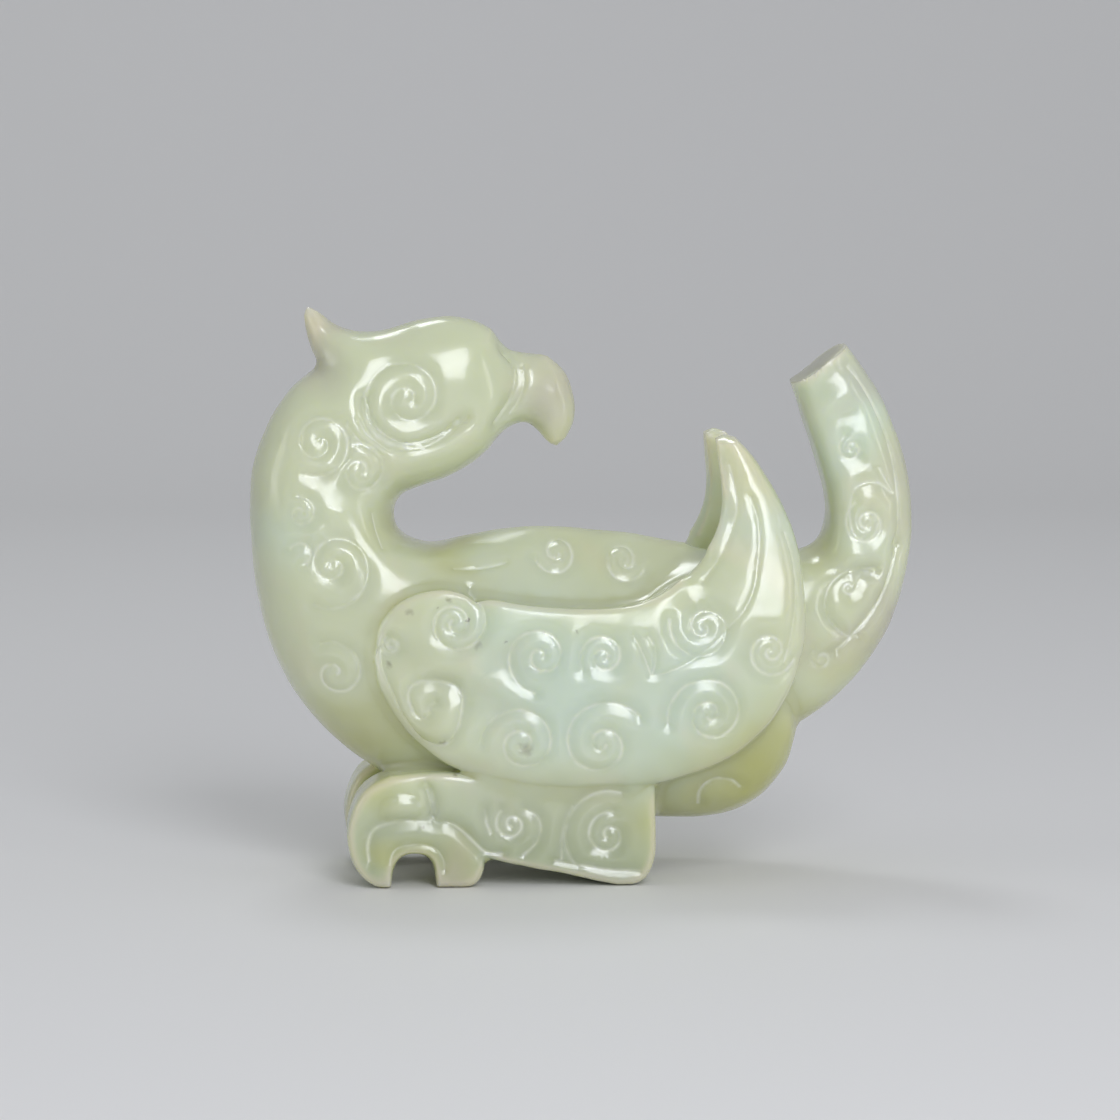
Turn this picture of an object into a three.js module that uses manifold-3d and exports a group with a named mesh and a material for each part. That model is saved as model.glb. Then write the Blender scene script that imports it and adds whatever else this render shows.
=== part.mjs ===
// A crouching bird carved from one pebble of pale jade, head turned back over its folded wings.
// Millimetres, +Z up, +X towards the tail, -Y the side with the nearer wing.
// The origin is on the ground under the middle of the carving, which stands on its two feet.
import * as THREE from "three";
import { mergeVertices } from "three/addons/utils/BufferGeometryUtils.js";
import Module from "manifold-3d";

// Driving dimensions
const BODY_SQUARE = 2.25;          // 2 is an ellipse across the limb, more is boxier
const TAIL_SQUARE = 2.9;
const BEAK_SQUARE = 2.1;
const CREST_SQUARE = 2.0;
const BACK_SQUARE = 1.55;          // the upper half of the body, which slopes like a roof
const BACK_FROM = [0.53, 0.64];    // along the trunk: where that slope begins, and is full
const TAIL_LEAN = 0.2;             // how much thicker the tail's inner edge is than its outer one
const HEAD_LEAN = 0.2;             // the same for the head, whose cheeks are wider than its top
const HEAD_TO = [0.2, 0.34];       // along the trunk: where that starts to fade, and is gone
const WING_ROOT_DEPTH = 6.0;       // |y| of the wing slab's inner face where it grows from the body
const WING_TIP_THICK = 3.5;        // the free upswept tip
const WING_CROWN = [0.7, 1.5];     // how far the wing's middle bulges past its upper, lower edge
const LOBE_CROWN = 0.7;            // the same at the wing's round front end
const TIP_CROWN = 1.3;             // the same at the upper edge of the swept tip
const WING_FLAT = 4.0;             // 2 rounds the face evenly, more keeps its middle flat
const TIP_FLAT = 1.6;              // the same for the upper part of the swept tip
const TIP_FROM = [0.68, 0.78];     // along the wing: where the swept tip begins, and is full
const FOLD_AT = 0.41;              // across the wing: the ridge above which its face leans inward
const FOLD_FROM = [0.52, 0.60];    // along the wing: where this begins, and is full
const FOLD_TO = [0.72, 0.80];      // where it starts to fade, and is gone
const FOLD_TILT = 0.17;
const FEATHER_DEPTH = 0.4;
const LEDGE_ROUND = 0.35;          // how far the wing's rim is rounded over
const LEG_INNER = 3.2;             // |y| of the face towards the other leg
const LEG_OUTER = 10.1;
const LEG_BEVEL = 0.9;
const SOLE_DROP = 0.6;             // the legs are carved a little long, then ground flat at z = 0
const WING_FREE = [0.56, 0.74];    // along the wing: where it starts to leave the body, and is free
const LOBE_END = 0.3;              // along the wing: where its round front end is over
const GROUND_BLOCK = [80, 40, 10]; // what is taken away below the soles

// Finish of the mesh: [ribs along a limb, sides round it], and what is drawn together
const TRUNK_FACES = [34, 18];
const TAIL_FACES = [20, 14];
const BEAK_FACES = [11, 10];
const CREST_FACES = [9, 10];
const WING_RIBS = 26;
const WING_SHARES = [0, 0.02, 0.22, 0.5, 0.62, 0.74, 0.98, 1];   // across its outer face
const WING_INNER_SHARES = [0.97, 0.5, 0.03];                     // and back across its inner one
const SHORTEST_EDGE = 0.2;
const SAME_PLACE = 1e-5;
const FLAT = 1e-6;                 // twice the area of a triangle too thin to have a side

// Limbs drawn as ribbons. Each station gives the limb's outer edge, its inner edge and its
// half thickness: [outer x, outer z, inner x, inner z, half thickness].
const TRUNK = [
  [-6.9, 48.4, -7.4, 43.8, 1.8],
  [-7.3, 50.6, -8.2, 42.0, 3.4],
  [-9.0, 52.7, -9.3, 40.8, 4.5],
  [-12.4, 53.8, -11.0, 39.5, 5.2],
  [-16.5, 53.3, -13.1, 38.4, 5.6],
  [-20.8, 51.9, -15.4, 37.6, 5.9],
  [-25.2, 49.2, -17.2, 36.9, 6.4],
  [-28.2, 46.6, -18.0, 35.9, 6.8],
  [-30.5, 42.9, -18.3, 34.9, 7.2],
  [-31.8, 38.8, -18.1, 34.0, 7.6],
  [-31.95, 34.6, -17.5, 33.2, 7.9],
  [-31.6, 29.2, -16.3, 32.3, 8.3],
  [-30.5, 23.6, -14.0, 32.0, 8.6],
  [-27.8, 17.7, -11.5, 32.6, 9.2],
  [-23.5, 12.8, -8.0, 33.3, 9.6],
  [-17.5, 8.9, -3.5, 33.5, 9.8],
  [-10.0, 6.5, 1.5, 33.2, 9.8],
  [-2.0, 5.5, 6.2, 32.6, 9.6],
  [6.0, 5.2, 10.8, 31.6, 9.3],
  [12.3, 5.2, 14.6, 30.4, 8.9],
  [16.6, 6.7, 17.4, 26.6, 8.1],
  [19.4, 9.8, 19.6, 21.0, 6.6],
  [20.5, 13.0, 20.6, 16.8, 4.0],
];
const TAIL = [
  [10.0, 10.0, 6.0, 29.5, 7.6],
  [16.0, 12.0, 12.0, 31.0, 7.2],
  [21.0, 14.3, 17.0, 31.0, 6.7],
  [25.0, 17.3, 20.6, 31.1, 6.2],
  [28.3, 21.1, 22.7, 31.8, 5.8],
  [30.5, 25.5, 23.6, 33.2, 5.4],
  [31.65, 30.2, 23.8, 35.0, 5.1],
  [31.9, 35.2, 23.4, 37.5, 4.9],
  [31.1, 40.4, 22.5, 40.5, 4.7],
  [29.3, 45.2, 21.4, 43.7, 4.5],
  [27.4, 48.4, 20.7, 46.0, 4.35],
  [25.4, 51.1, 20.2, 47.45, 4.2],
];
const BEAK = [
  [-10.5, 50.0, -10.5, 43.6, 3.6],
  [-7.4, 50.4, -7.9, 42.6, 3.3],
  [-5.0, 50.5, -6.6, 43.3, 3.0],
  [-2.9, 49.6, -5.7, 43.6, 2.6],
  [-1.4, 47.9, -4.9, 43.3, 2.3],
  [-0.7, 45.6, -4.2, 42.7, 2.1],
  [-0.8, 43.7, -3.7, 42.1, 1.7],
  [-1.5, 42.1, -3.2, 41.6, 1.1],
];
const CREST = [
  [-24.0, 47.0, -17.0, 49.5, 5.0],
  [-25.2, 49.1, -19.0, 52.1, 4.0],
  [-26.0, 50.7, -21.6, 52.4, 2.9],
  [-26.5, 52.4, -23.9, 53.3, 1.9],
  [-26.7, 53.9, -25.4, 54.3, 0.9],
];
// The wing: [upper edge x, z, lower edge x, z, |y| of its outer face at the upper edge, and how
// much nearer the middle that face is at the lower edge]
const WING = [
  [-20.5, 22.3, -20.4, 21.2, 9.9, 0],
  [-19.8, 25.2, -19.9, 19, 10.2, 0],
  [-17.6, 27.4, -18.4, 16.3, 10.5, 0],
  [-14.1, 28.4, -16.1, 13.5, 10.9, 0],
  [-10.3, 27.7, -12.3, 11.1, 11.4, 0],
  [-5.7, 27, -6.6, 9.7, 11.8, 0],
  [-0.4, 26.6, -0.4, 9.3, 12, 0],
  [4.8, 27.1, 7.2, 10, 12, -0.1],
  [8.8, 29.3, 13.7, 12.5, 11.7, -0.4],
  [11.4, 32.3, 18.1, 16.7, 11.1, -0.7],
  [12.6, 35, 20.3, 22, 10.25, -1.2],
  [12.8, 37.7, 20.6, 27.6, 9.25, -1.6],
  [12.5, 40, 19.5, 33.9, 8.25, -1.2],
  [12.3, 42, 16.5, 39.8, 7.4, -0.3],
  [12.4, 43, 14.2, 42.5, 6.9, 0.1],
];
const TRUNK_NOSE = [-6.55, 46.2];      // closes the ribbon in front of the cheek
const TRUNK_END = [20.7, 14.9];        // closes it at the back of the rump
const BEAK_TIP = [-2.5, 41.2];
const CREST_TIP = [-26.4, 54.8];
const WING_START = [-20.6, 21.7];
const WING_POINT = [13.2, 43.25];

// Where the grooves between the long feathers run, as a share of the wing's width, how wide
// they are, and how far along the wing they start and are at full depth
const FEATHERS = [
  { at: 0.12, wide: 0.035, from: 0.54, full: 0.64 },
  { at: 0.41, wide: 0.05, from: 0.50, full: 0.60 },
  { at: 0.85, wide: 0.035, from: 0.62, full: 0.72 },
];

// The scrolls cut into the stone, the same on both sides. Each is a spiral groove that winds in
// to its middle: [middle x, z, outer radius, angle where it starts in degrees, turns (+ is
// anticlockwise seen from -Y)]. A sixth number is the radius it stops at, if it isn't the heart.
const SCROLLS = [
  [-16.7, 46.3, 5.0, -27, -1.6],
  [-25.5, 41.8, 2.8, -115, 1.2],
  [-21.5, 39.2, 2.6, 105, -1.2],
  [-27.1, 35.4, 1.8, 100, -1.0],
  [-24.0, 30.6, 3.8, -115, 1.4],
  [-24.1, 20.1, 2.9, 115, -1.1],
  [-12.8, 25.3, 3.2, 80, -1.5],
  [-15.2, 17.4, 3.8, -85, 1.25],
  [-4.7, 22.2, 3.5, -105, -1.3],
  [1.3, 22.1, 2.3, -135, -1.3],
  [10.9, 25.3, 3.5, 165, 1.3],
  [17.1, 22.4, 2.6, -10, -1.3],
  [-6.3, 13.8, 3.6, 175, -1.3],
  [1.3, 13.8, 3.8, 35, 1.3],
  [11.4, 16.6, 3.8, 190, -1.3],
  [27.2, 33.9, 3.4, 70, 1.3],
  [26.0, 26.3, 3.3, 30, 1.2],
  [25.6, 41.2, 1.5, 120, 1.0],
  [-7.5, 6.0, 1.8, 150, 1.1],
  [2.0, 5.0, 2.4, 150, 1.2],
  [-13.4, 2.4, 3.7, 112, -0.3, 3.7],
];
const SCROLL_HEART = 0.5;          // radius at which a scroll's groove stops
const SCROLL_TIGHTEN = 1.6;        // how fast a scroll closes at first
const GROOVE_WIDE = 0.55;
const GROOVE_DEEP = 0.3;
const GROOVE_STEP = 62;            // degrees between two sections of a groove
const GROOVE_RUN_OUT = 0.4;        // share of its depth and width that a groove ends with
const CLEAR_OF_STONE = 30;         // |y| of a place well outside the carving

const jade = new THREE.MeshStandardMaterial({ color: 0xc2ccb6, roughness: 0.22, metalness: 0.0 });

const wasm = await Module();
wasm.setup();

// A smooth curve through the stations' values, uniform Catmull-Rom, t from 0 to 1
function along(stations, t) {
  const last = stations.length - 1;
  const place = Math.min(t * last, last - 1e-9);
  const i = Math.floor(place);
  const f = place - i;
  const pick = (k) => stations[Math.max(0, Math.min(last, k))];
  const [a, b, c, d] = [pick(i - 1), pick(i), pick(i + 1), pick(i + 2)];
  return b.map((_, k) => 0.5 * (2 * b[k] + (c[k] - a[k]) * f
    + (2 * a[k] - 5 * b[k] + 4 * c[k] - d[k]) * f * f
    + (3 * b[k] - a[k] - 3 * c[k] + d[k]) * f * f * f));
}

// Joins rings of points, all of one length, into a closed skin. A pole is one point; without
// it the end is a flat fan round the ring's middle.
function skin(rings, startPole, endPole) {
  const sides = rings[0].length;
  const points = rings.flat();
  const middle = (ring) => ring.reduce((sum, p) => sum.add(p), new THREE.Vector3())
    .divideScalar(sides);
  const first = points.push(startPole ?? middle(rings[0])) - 1;
  const end = points.push(endPole ?? middle(rings.at(-1))) - 1;
  const index = [];
  const lastRing = (rings.length - 1) * sides;
  for (let j = 0; j < sides; j += 1) {
    const next = (j + 1) % sides;
    index.push(first, next, j);
    index.push(end, lastRing + j, lastRing + next);
    for (let i = 0; i < rings.length - 1; i += 1) {
      const a = i * sides;
      const b = a + sides;
      index.push(a + j, a + next, b + next);
      index.push(a + j, b + next, b + j);
    }
  }
  const geometry = new THREE.BufferGeometry();
  geometry.setAttribute("position",
    new THREE.Float32BufferAttribute(points.flatMap((p) => p.toArray()), 3));
  geometry.setIndex(holds(points, index) > 0 ? index : index.reverse());
  return geometry;
}

// Six times the volume inside a skin, below zero where its faces point inwards
function holds(points, index) {
  let sum = 0;
  for (let i = 0; i < index.length; i += 3) {
    const [a, b, c] = [0, 1, 2].map((k) => points[index[i + k]]);
    sum += a.dot(b.clone().cross(c));
  }
  return sum;
}

// A limb whose section is a superellipse between its two edges. The half towards the inner
// edge can have its own squareness, and one edge can be thicker than the other: both are
// functions of the place along the limb.
function limb(stations, [ribs, sides], square, startTip, endTip,
  innerSquare = () => square, lean = () => 0) {
  const rings = [];
  for (let i = 0; i <= ribs; i += 1) {
    const t = i / ribs;
    const [ox, oz, ix, iz, half] = along(stations, t);
    const ring = [];
    for (let j = 0; j < sides; j += 1) {
      const angle = (j / sides) * Math.PI * 2;
      const shape = Math.cos(angle) < 0 ? innerSquare(t) : square;
      const bend = (value) => Math.sign(value) * Math.abs(value) ** (2 / shape);
      const across = 0.5 * (1 + bend(Math.cos(angle)));
      const y = half * (1 + lean(t) * (0.5 - across)) * bend(Math.sin(angle));
      ring.push(new THREE.Vector3(ix + (ox - ix) * across, y, iz + (oz - iz) * across));
    }
    rings.push(ring);
  }
  const pole = (tip) => tip && new THREE.Vector3(tip[0], 0, tip[1]);
  return skin(rings, pole(startTip), pole(endTip));
}

function rise(from, full, t) {
  return THREE.MathUtils.smoothstep(t, from, full);
}

function mix(a, b, share) {
  return a + (b - a) * share;
}

// How deep the feather grooves are cut at one place on the wing
function featherCut(t, v) {
  let cut = 0;
  for (const line of FEATHERS) {
    const off = Math.abs(v - line.at) / line.wide;
    cut = Math.max(cut, rise(line.from, line.full, t) * Math.max(0, 1 - off));
  }
  return cut * FEATHER_DEPTH;
}

// One wing, on the -Y side: a crowned plate with sharp ledges, its tip standing free
function wing() {
  const shares = [...WING_SHARES];
  for (const line of FEATHERS) {
    shares.push(line.at - line.wide, line.at, line.at + line.wide);
  }
  shares.sort((a, b) => a - b);
  const rings = [];
  for (let i = 0; i <= WING_RIBS; i += 1) {
    const t = i / WING_RIBS;
    const [ux, uz, lx, lz, upper, lean] = along(WING, t);
    const free = rise(...WING_FREE, t);
    const swept = rise(...TIP_FROM, t);
    const width = Math.hypot(lx - ux, lz - uz);
    const tilt = FOLD_TILT * width * rise(...FOLD_FROM, t) * (1 - rise(...FOLD_TO, t));
    const ring = shares.map((v) => {
      const [crown, tip] = v < 0.5 ? [WING_CROWN[0], swept] : [WING_CROWN[1], 0];
      const bulge = mix(LOBE_CROWN, mix(crown, TIP_CROWN, tip), rise(0, LOBE_END, t));
      const round = bulge * Math.abs(2 * v - 1) ** mix(WING_FLAT, TIP_FLAT, tip);
      const fold = tilt * Math.max(FOLD_AT - v, 0);
      const edge = v === 0 || v === 1 ? LEDGE_ROUND : 0;
      const out = upper - lean * v - fold - round - edge - featherCut(t, v);
      return new THREE.Vector3(ux + (lx - ux) * v, -out, uz + (lz - uz) * v);
    });
    for (const v of WING_INNER_SHARES) {
      const inner = mix(WING_ROOT_DEPTH, upper - lean * v - WING_TIP_THICK, free);
      ring.push(new THREE.Vector3(ux + (lx - ux) * v, -inner, uz + (lz - uz) * v));
    }
    rings.push(ring);
  }
  const pole = (tip, y) => new THREE.Vector3(tip[0], y, tip[1]);
  const depth = (t) => -(along(WING, t)[4] - WING_TIP_THICK / 2);
  return skin(rings, pole(WING_START, depth(0)), pole(WING_POINT, depth(1)));
}

// One leg, on the -Y side: claws curled over an arch, the shank along the ground, a square heel
function leg() {
  const outline = new THREE.Shape();
  outline.moveTo(-18.8, 10.6);
  outline.splineThru([[-21.2, 9.3], [-22.7, 7.2], [-23.0, 4.6], [-22.4, 2.2], [-21.0, 0.2],
    [-20.2, -SOLE_DROP]].map(([x, z]) => new THREE.Vector2(x, z)));
  outline.lineTo(-18.7, -SOLE_DROP);
  outline.lineTo(-18.6, 1.5);
  outline.bezierCurveTo(-18.6, 2.6, -18.0, 3.0, -16.5, 3.0);
  outline.bezierCurveTo(-15.0, 3.0, -14.5, 2.6, -14.4, 1.5);
  outline.lineTo(-14.2, -SOLE_DROP);
  outline.lineTo(-11.4, -SOLE_DROP);
  outline.quadraticCurveTo(-10.0, 0.3, -9.9, 2.5);
  outline.lineTo(1.8, 0.25);
  outline.lineTo(2.4, -SOLE_DROP);
  outline.lineTo(4.2, -SOLE_DROP);
  outline.quadraticCurveTo(6.3, 0.6, 6.45, 4.0);
  outline.lineTo(6.2, 12.5);
  outline.lineTo(-6.0, 12.5);
  outline.lineTo(-11.0, 10.7);
  outline.quadraticCurveTo(-14.5, 11.3, -18.8, 10.6);
  outline.closePath();
  const thick = LEG_OUTER - LEG_INNER - 2 * LEG_BEVEL;
  const geometry = new THREE.ExtrudeGeometry(outline, {
    depth: thick, steps: 1, curveSegments: 4,
    bevelEnabled: true, bevelThickness: LEG_BEVEL, bevelSize: LEG_BEVEL * 0.6,
    bevelOffset: -LEG_BEVEL * 0.6, bevelSegments: 2,
  });
  geometry.rotateX(Math.PI / 2);
  geometry.translate(0, -LEG_INNER - LEG_BEVEL, 0);
  return geometry;
}

// One scroll's groove as a closed three-sided bar that lies along the stone's near side: its
// lower edge is the bottom of the groove and its upper face stays outside
function grooveBar(surface, [x, z, radius, start, turns, heart = SCROLL_HEART]) {
  const steps = Math.ceil(Math.abs(turns) * 360 / GROOVE_STEP);
  const ray = new THREE.Raycaster();
  const path = [];
  for (let i = 0; i <= steps; i += 1) {
    const share = i / steps;
    const angle = THREE.MathUtils.degToRad(start + share * turns * 360);
    const reach = heart + (radius - heart) * (1 - share) ** SCROLL_TIGHTEN;
    const from = new THREE.Vector3(x + reach * Math.cos(angle), -CLEAR_OF_STONE,
      z + reach * Math.sin(angle));
    ray.set(from, new THREE.Vector3(0, 1, 0));
    const hit = ray.intersectObject(surface)[0];
    path.push({ place: hit.point, up: hit.face.normal.clone() });
  }
  const rings = path.map(({ place, up }, i) => {
    const ahead = path[Math.min(i + 1, steps)].place;
    const behind = path[Math.max(i - 1, 0)].place;
    const side = ahead.clone().sub(behind).cross(up).normalize();
    const fade = i === 0 || i === steps ? GROOVE_RUN_OUT : 1;
    const corner = (across, height) => place.clone().addScaledVector(side, across)
      .addScaledVector(up, height);
    return [corner(0, -GROOVE_DEEP * fade), corner(GROOVE_WIDE * fade, GROOVE_DEEP),
      corner(-GROOVE_WIDE * fade, GROOVE_DEEP)];
  });
  return skin(rings);
}

// The ground, taken away from the feet so that their soles are flat
function underground() {
  const geometry = new THREE.BoxGeometry(...GROUND_BLOCK);
  geometry.translate(0, 0, -GROUND_BLOCK[2] / 2);
  return geometry;
}

function solid(geometry) {
  const bare = geometry.clone();
  bare.deleteAttribute("normal");
  bare.deleteAttribute("uv");
  const merged = mergeVertices(bare, SAME_PLACE);
  return new wasm.Manifold(new wasm.Mesh({
    numProp: 3,
    vertProperties: new Float32Array(merged.getAttribute("position").array),
    triVerts: new Uint32Array(merged.getIndex().array),
  }));
}

// The same shape on the other side of the bird
function mirrored(geometry) {
  const copy = mergeVertices(geometry.clone(), SAME_PLACE);
  copy.scale(1, -1, 1);
  const index = copy.getIndex().array;
  for (let i = 0; i < index.length; i += 3) {
    [index[i + 1], index[i + 2]] = [index[i + 2], index[i + 1]];
  }
  return copy;
}

function carve() {
  const back = (t) => mix(BODY_SQUARE, BACK_SQUARE, rise(...BACK_FROM, t));
  const cheeks = (t) => HEAD_LEAN * (1 - rise(...HEAD_TO, t));
  let stone = solid(limb(TRUNK, TRUNK_FACES, BODY_SQUARE, TRUNK_NOSE, TRUNK_END, back, cheeks));
  stone = stone.add(solid(limb(TAIL, TAIL_FACES, TAIL_SQUARE, null, null, undefined,
    () => TAIL_LEAN)));
  stone = stone.add(solid(limb(BEAK, BEAK_FACES, BEAK_SQUARE, null, BEAK_TIP)));
  stone = stone.add(solid(limb(CREST, CREST_FACES, CREST_SQUARE, null, CREST_TIP)));
  for (const half of [wing(), leg()]) {
    stone = stone.add(solid(half)).add(solid(mirrored(half)));
  }
  stone = stone.subtract(solid(underground()));
  const surface = new THREE.Mesh(toGeometry(stone), jade);
  for (const scroll of SCROLLS) {
    const bar = grooveBar(surface, scroll);
    stone = stone.subtract(solid(bar)).subtract(solid(mirrored(bar)));
  }
  return stone;
}

// Draws the two ends of each edge shorter than SHORTEST_EDGE together, where that leaves one
// closed skin and turns no triangle over, so that the cuts leave no hair-thin slivers
function closeSlivers(corners, triangles) {
  const around = corners.map(() => new Set());
  triangles.forEach((t, i) => t.forEach((v) => around[v].add(i)));
  const neighbours = (v) => new Set([...around[v]].flatMap((i) => triangles[i]));
  const facing = (t, moved, place) => {
    const [a, b, c] = t.map((v) => (moved.includes(v) ? place : corners[v]));
    return new THREE.Vector3().subVectors(b, a).cross(new THREE.Vector3().subVectors(c, a));
  };
  const collapse = (a, b) => {
    const far = neighbours(b);
    if ([...neighbours(a)].filter((v) => far.has(v)).length !== 4) return false;
    const place = corners[a].clone().lerp(corners[b], 0.5);
    const shared = [...around[a]].filter((i) => around[b].has(i));
    for (const i of new Set([...around[a], ...around[b]])) {
      if (shared.includes(i)) continue;
      const before = facing(triangles[i], [], place);
      const after = facing(triangles[i], [a, b], place);
      if (before.length() > FLAT && after.dot(before) <= 0) return false;
    }
    corners[a] = place;
    for (const i of shared) triangles[i].forEach((v) => around[v].delete(i));
    for (const i of around[b]) {
      triangles[i] = triangles[i].map((v) => (v === b ? a : v));
      around[a].add(i);
    }
    around[b].clear();
    for (const i of shared) triangles[i] = null;
    return true;
  };
  for (let again = true; again;) {
    again = false;
    for (let i = 0; i < triangles.length; i += 1) {
      for (let k = 0; triangles[i] && k < 3; k += 1) {
        const [a, b] = [triangles[i][k], triangles[i][(k + 1) % 3]];
        const short = corners[a].distanceTo(corners[b]) < SHORTEST_EDGE;
        if (short && collapse(a, b)) again = true;
      }
    }
  }
  return triangles.filter(Boolean);
}

function toGeometry(stone) {
  const mesh = stone.getMesh();
  const corners = [];
  for (let i = 0; i < mesh.vertProperties.length; i += 3) {
    corners.push(new THREE.Vector3().fromArray(mesh.vertProperties, i));
  }
  const cut = [];
  for (let i = 0; i < mesh.triVerts.length; i += 3) cut.push([...mesh.triVerts.slice(i, i + 3)]);
  const index = closeSlivers(corners, cut).flat();
  const geometry = new THREE.BufferGeometry();
  geometry.setAttribute("position",
    new THREE.Float32BufferAttribute(corners.flatMap((p) => p.toArray()), 3));
  geometry.setIndex(index);
  geometry.computeVertexNormals();
  return geometry;
}

const carving = new THREE.Group();
const bird = new THREE.Mesh(toGeometry(carve()), jade);
bird.name = "jade_bird";
carving.add(bird);

export default carving;
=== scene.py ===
"""A polished jade carving of a crouching bird, its head turned back over its folded wings.

One stone, so one piece. The stone's smooth form is lofted limb by limb from tables of stations and
run together, the scrolls and borders are drawn on sheets held in front of it, and a node tree lays
them on the surface and carves them in. Sizes in the tables are millimetres, in the frame's axes:
+X towards the tail, -Y the side with the nearer wing, +Z up.
"""
import math

import bpy
import numpy as np
from mathutils import Matrix, Vector
from mathutils.kdtree import KDTree


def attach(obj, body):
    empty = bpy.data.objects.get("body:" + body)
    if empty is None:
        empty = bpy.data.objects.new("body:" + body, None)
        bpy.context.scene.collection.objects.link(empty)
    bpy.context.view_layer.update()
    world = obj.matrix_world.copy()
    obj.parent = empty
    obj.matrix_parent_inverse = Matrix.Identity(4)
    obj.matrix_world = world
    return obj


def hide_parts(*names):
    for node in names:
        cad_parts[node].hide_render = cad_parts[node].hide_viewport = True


bl_info = {
    "name": "Jade bird carving",
    "version": (1, 0, 0),
    "blender": (4, 5, 0),
    "location": "View3D > Sidebar > Jade bird",
    "description": "A crouching bird carved from one pebble of pale jade, with its studio",
    "category": "Add Mesh",
}

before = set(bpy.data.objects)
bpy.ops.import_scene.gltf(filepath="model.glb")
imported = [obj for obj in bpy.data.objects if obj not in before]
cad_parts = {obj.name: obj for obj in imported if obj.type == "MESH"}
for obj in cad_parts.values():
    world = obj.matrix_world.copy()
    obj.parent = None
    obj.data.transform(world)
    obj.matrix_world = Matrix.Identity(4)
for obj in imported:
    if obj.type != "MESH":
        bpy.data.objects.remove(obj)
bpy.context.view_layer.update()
MM = 0.001

# The form, as tables of stations

BODY_SQUARE = 2.25      # 2 is an ellipse across the limb, more is boxier
TAIL_SQUARE = 2.9
BEAK_SQUARE = 2.1
CREST_SQUARE = 2.0
BACK_SQUARE = 1.55      # the upper half of the body, which slopes like a roof
BACK_FROM = (0.53, 0.64)    # along the trunk: where that slope begins, and is full
TAIL_LEAN = 0.2         # how much thicker the tail's inner edge is than its outer one
HEAD_LEAN = 0.2         # the same for the head, whose cheeks are wider than its top
HEAD_TO = (0.2, 0.34)   # along the trunk: where that starts to fade, and is gone

# [outer edge x, z, inner edge x, z, half thickness] along each limb
TRUNK = [
    (-6.9, 48.4, -7.4, 43.8, 1.8), (-7.3, 50.6, -8.2, 42.0, 3.4), (-9.0, 52.7, -9.3, 40.8, 4.5),
    (-12.4, 53.8, -11.0, 39.5, 5.2), (-16.5, 53.3, -13.1, 38.4, 5.6),
    (-20.8, 51.9, -15.4, 37.6, 5.9), (-25.2, 49.2, -17.2, 36.9, 6.4),
    (-28.2, 46.6, -18.0, 35.9, 6.8), (-30.5, 42.9, -18.3, 34.9, 7.2),
    (-31.8, 38.8, -18.1, 34.0, 7.6), (-31.95, 34.6, -17.5, 33.2, 7.9),
    (-31.6, 29.2, -16.3, 32.3, 8.3), (-30.5, 23.6, -14.0, 32.0, 8.6),
    (-27.8, 17.7, -11.5, 32.6, 9.2), (-23.5, 12.8, -8.0, 33.3, 9.6),
    (-17.5, 8.9, -3.5, 33.5, 9.8), (-10.0, 6.5, 1.5, 33.2, 9.8), (-2.0, 5.5, 6.2, 32.6, 9.6),
    (6.0, 5.2, 10.8, 31.6, 9.3), (12.3, 5.2, 14.6, 30.4, 8.9), (16.6, 6.7, 17.4, 26.6, 8.1),
    (19.4, 9.8, 19.6, 21.0, 6.6), (20.5, 13.0, 20.6, 16.8, 4.0),
]
TAIL = [
    (10.0, 10.0, 6.0, 29.5, 7.6), (16.0, 12.0, 12.0, 31.0, 7.2), (21.0, 14.3, 17.0, 31.0, 6.7),
    (25.0, 17.3, 20.6, 31.1, 6.2), (28.3, 21.1, 22.7, 31.8, 5.8), (30.5, 25.5, 23.6, 33.2, 5.4),
    (31.65, 30.2, 23.8, 35.0, 5.1), (31.9, 35.2, 23.4, 37.5, 4.9), (31.1, 40.4, 22.5, 40.5, 4.7),
    (29.3, 45.2, 21.4, 43.7, 4.5), (27.4, 48.4, 20.7, 46.0, 4.35), (25.4, 51.1, 20.2, 47.45, 4.2),
]
BEAK = [
    (-10.5, 50.0, -10.5, 43.6, 3.6), (-7.4, 50.4, -7.9, 42.6, 3.3), (-5.0, 50.5, -6.6, 43.3, 3.0),
    (-2.9, 49.6, -5.7, 43.6, 2.6), (-1.4, 47.9, -4.9, 43.3, 2.3), (-0.7, 45.6, -4.2, 42.7, 2.1),
    (-0.8, 43.7, -3.7, 42.1, 1.7), (-1.5, 42.1, -3.2, 41.6, 1.1),
]
CREST = [
    (-24.0, 47.0, -17.0, 49.5, 5.0), (-25.2, 49.1, -19.0, 52.1, 4.0),
    (-26.0, 50.7, -21.6, 52.4, 2.9), (-26.5, 52.4, -23.9, 53.3, 1.9),
    (-26.7, 53.9, -25.4, 54.3, 0.9),
]
TRUNK_NOSE = (-6.55, 46.2)
TRUNK_END = (20.7, 14.9)
BEAK_TIP = (-2.5, 41.2)
CREST_TIP = (-26.4, 54.8)

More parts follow.
